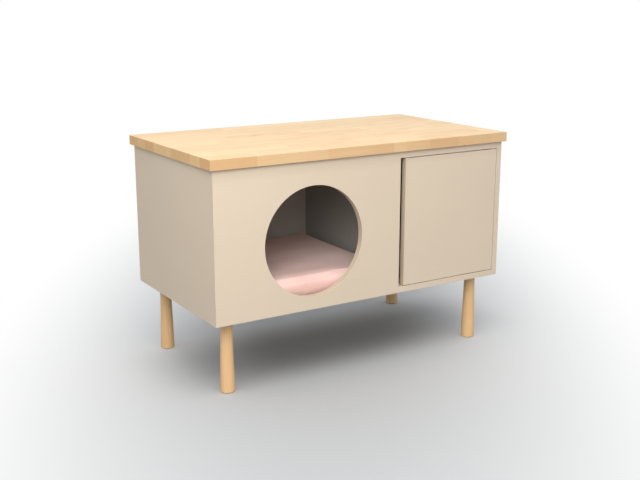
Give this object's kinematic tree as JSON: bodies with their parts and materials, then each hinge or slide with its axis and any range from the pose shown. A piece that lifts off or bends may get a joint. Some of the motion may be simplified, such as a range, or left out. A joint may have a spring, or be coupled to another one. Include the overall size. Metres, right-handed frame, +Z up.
{
  "type": "cat litter box cabinet",
  "caption": "Low pet cabinet on turned legs with a laminated wood top, a round entry hole with a cushion behind it, and a flush side-hung door over a litter tray.",
  "frame": {"origin": "on the floor, at the centre of the top board's outline, which is the centre of the footprint", "axes": "+X to the right along the front, +Y to the back, +Z up; the front with the hole and the door faces -Y"},
  "size_m": [1, 0.55, 0.663],
  "materials": {
    "top_wood": "pale laminated hardwood, clear matt lacquer",
    "leg_wood": "turned pale hardwood, clear matt lacquer",
    "painted_board": "warm beige matt paint on board",
    "hinge_steel": "satin",
    "zinc_steel": "zinc plated",
    "magnet": "dull grey",
    "nylon": "matt",
    "catch_plastic": "matt",
    "tray_plastic": "satin, moulded",
    "felt": "pressed felt",
    "cushion_fabric": "soft dusty pink cloth"
  },
  "bodies": {
    "cabinet": {"top_board": "top_wood", "left_side_panel": "painted_board", "right_side_panel": "painted_board", "bottom_panel": "painted_board", "back_panel": "painted_board", "front_panel": "painted_board", "divider_panel": "painted_board", "front_top_rail": "painted_board", "rear_top_rail": "painted_board", "top_board_screw_front_left": "zinc_steel", "top_board_screw_front_right": "zinc_steel", "top_board_screw_rear_left": "zinc_steel", "top_board_screw_rear_right": "zinc_steel", "back_panel_screw_upper_left": "zinc_steel", "back_panel_screw_upper_right": "zinc_steel", "back_panel_screw_lower_left": "zinc_steel", "back_panel_screw_lower_right": "zinc_steel", "leg_front_left": "leg_wood", "leg_front_right": "leg_wood", "leg_rear_left": "leg_wood", "leg_rear_right": "leg_wood", "hanger_bolt_front_left": "zinc_steel", "hanger_bolt_front_right": "zinc_steel", "hanger_bolt_rear_left": "zinc_steel", "hanger_bolt_rear_right": "zinc_steel", "insert_nut_front_left": "zinc_steel", "insert_nut_front_right": "zinc_steel", "insert_nut_rear_left": "zinc_steel", "insert_nut_rear_right": "zinc_steel", "foot_glide_front_left": "felt", "foot_glide_front_right": "felt", "foot_glide_rear_left": "felt", "foot_glide_rear_right": "felt", "hinge_lower_frame_leaf": "hinge_steel", "hinge_lower_pin": "hinge_steel", "hinge_lower_washer": "nylon", "hinge_lower_frame_screw_1": "zinc_steel", "hinge_lower_frame_screw_2": "zinc_steel", "hinge_upper_frame_leaf": "hinge_steel", "hinge_upper_pin": "hinge_steel", "hinge_upper_washer": "nylon", "hinge_upper_frame_screw_1": "zinc_steel", "hinge_upper_frame_screw_2": "zinc_steel", "catch_housing": "catch_plastic", "catch_magnet": "magnet", "catch_screw_1": "zinc_steel", "catch_screw_2": "zinc_steel", "litter_tray": "tray_plastic", "cushion": "cushion_fabric"},
    "door": {"door_panel": "painted_board", "hinge_lower_door_leaf": "hinge_steel", "hinge_lower_door_screw_1": "zinc_steel", "hinge_lower_door_screw_2": "zinc_steel", "hinge_upper_door_leaf": "hinge_steel", "hinge_upper_door_screw_1": "zinc_steel", "hinge_upper_door_screw_2": "zinc_steel", "strike_plate": "hinge_steel", "strike_plate_screw": "zinc_steel"}
  },
  "joints": [
    {"name": "door_hinge", "type": "hinge", "parent": "cabinet", "child": "door", "pos_m": [0.458, -0.259, 0.4225], "axis": [0, 0, 1], "range_deg": [0, 110]}
  ]
}
